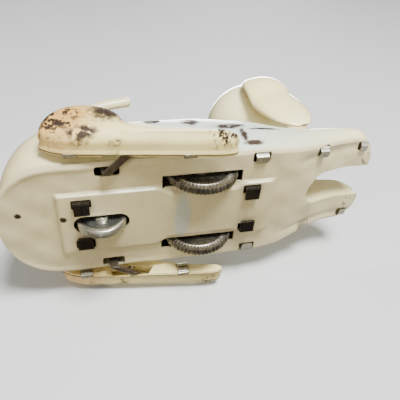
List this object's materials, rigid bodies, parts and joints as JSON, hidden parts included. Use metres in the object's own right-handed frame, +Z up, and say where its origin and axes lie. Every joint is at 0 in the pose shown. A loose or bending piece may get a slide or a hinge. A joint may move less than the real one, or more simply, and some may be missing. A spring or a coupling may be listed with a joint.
{
  "type": "clockwork tin puppy",
  "caption": "Wind-up tin toy puppy on three wheels, with swinging hind legs, a glossy celluloid head with long ears, and its clockwork inside.",
  "frame": {"origin": "on the ground under the middle of the toy, on its plane of symmetry", "axes": "+Z up with the wheels resting on z = 0, the toy faces -Y, its left side is +X"},
  "size_m": [0.0672, 0.129, 0.0758],
  "materials": {
    "cream_paint": "gloss",
    "haunch_paint": "gloss",
    "bright_tin": "satin",
    "wheel_steel": "worn",
    "dark_steel": "dull",
    "gear_brass": "dull",
    "celluloid": "gloss"
  },
  "bodies": {
    "chassis": {"back_shell": "cream_paint", "belly_plate": "cream_paint", "frame_pillar_1": "bright_tin", "frame_pillar_2": "bright_tin", "frame_pillar_3": "bright_tin", "left_frame_plate": "dark_steel", "left_leg_pivot": "bright_tin", "mainspring": "dark_steel", "neck_cup": "cream_paint", "neck_stem": "bright_tin", "rear_axle": "wheel_steel", "right_frame_plate": "dark_steel", "right_leg_pivot": "bright_tin", "tail": "cream_paint"},
    "drive_set": {"drive_axle": "wheel_steel", "drive_pinion": "bright_tin", "left_cam": "bright_tin", "right_cam": "bright_tin", "left_drive_wheel": "wheel_steel", "right_drive_wheel": "wheel_steel"},
    "second_set": {"second_arbor": "bright_tin", "second_pinion": "bright_tin", "second_wheel": "gear_brass"},
    "great_set": {"great_wheel": "gear_brass", "click": "bright_tin"},
    "winding_set": {"winding_arbor": "bright_tin", "ratchet_wheel": "bright_tin"},
    "governor_set": {"governor_arbor": "bright_tin", "governor_pinion": "bright_tin", "star_wheel": "bright_tin"},
    "anchor_set": {"anchor": "bright_tin"},
    "rear_wheel_set": {"rear_wheel": "wheel_steel"},
    "right_leg": {"right_leg_outer": "haunch_paint", "right_leg_inner": "haunch_paint", "right_drive_arm": "dark_steel"},
    "left_leg": {"left_leg_outer": "haunch_paint", "left_leg_inner": "haunch_paint", "left_drive_arm": "dark_steel"},
    "head": {"head_shell": "celluloid", "left_ear": "celluloid", "right_ear": "celluloid"}
  },
  "joints": [
    {"name": "drive_axle_spin", "type": "hinge", "parent": "chassis", "child": "drive_set", "pos_m": [0, 0, 0.012], "axis": [1, 0, 0], "continuous": true},
    {"name": "second_wheel_spin", "type": "hinge", "parent": "chassis", "child": "second_set", "pos_m": [0, 0.00163, 0.02389], "axis": [1, 0, 0], "continuous": true},
    {"name": "great_wheel_spin", "type": "hinge", "parent": "chassis", "child": "great_set", "pos_m": [0, 0.014, 0.0285], "axis": [1, 0, 0], "continuous": true},
    {"name": "governor_spin", "type": "hinge", "parent": "chassis", "child": "governor_set", "pos_m": [0, -0.00927, 0.02786], "axis": [1, 0, 0], "continuous": true},
    {"name": "winding_turn", "type": "hinge", "parent": "chassis", "child": "winding_set", "pos_m": [0, 0.014, 0.0285], "axis": [1, 0, 0], "continuous": true},
    {"name": "anchor_rock", "type": "hinge", "parent": "chassis", "child": "anchor_set", "pos_m": [0, -0.01467, 0.02326], "axis": [1, 0, 0], "range_deg": [-5, 5]},
    {"name": "rear_wheel_spin", "type": "hinge", "parent": "chassis", "child": "rear_wheel_set", "pos_m": [0, 0.033, 0.008], "axis": [1, 0, 0], "continuous": true},
    {"name": "right_leg_swing", "type": "hinge", "parent": "chassis", "child": "right_leg", "pos_m": [0, 0.0365, 0.0138], "axis": [1, 0, 0], "range_deg": [-6, 2.2]},
    {"name": "left_leg_swing", "type": "hinge", "parent": "chassis", "child": "left_leg", "pos_m": [0, 0.0365, 0.0138], "axis": [1, 0, 0], "range_deg": [-6, 2.2]},
    {"name": "head_turn", "type": "hinge", "parent": "chassis", "child": "head", "pos_m": [0, -0.03, 0.04], "axis": [0, 0, 1], "range_deg": [-12, 12]}
  ],
  "couplings": [
    {"joint": "second_wheel_spin", "follows": "drive_axle_spin", "ratio": -0.25},
    {"joint": "great_wheel_spin", "follows": "drive_axle_spin", "ratio": 0.055556},
    {"joint": "governor_spin", "follows": "drive_axle_spin", "ratio": 1.2},
    {"joint": "left_leg_swing", "follows": "right_leg_swing", "ratio": 1}
  ]
}
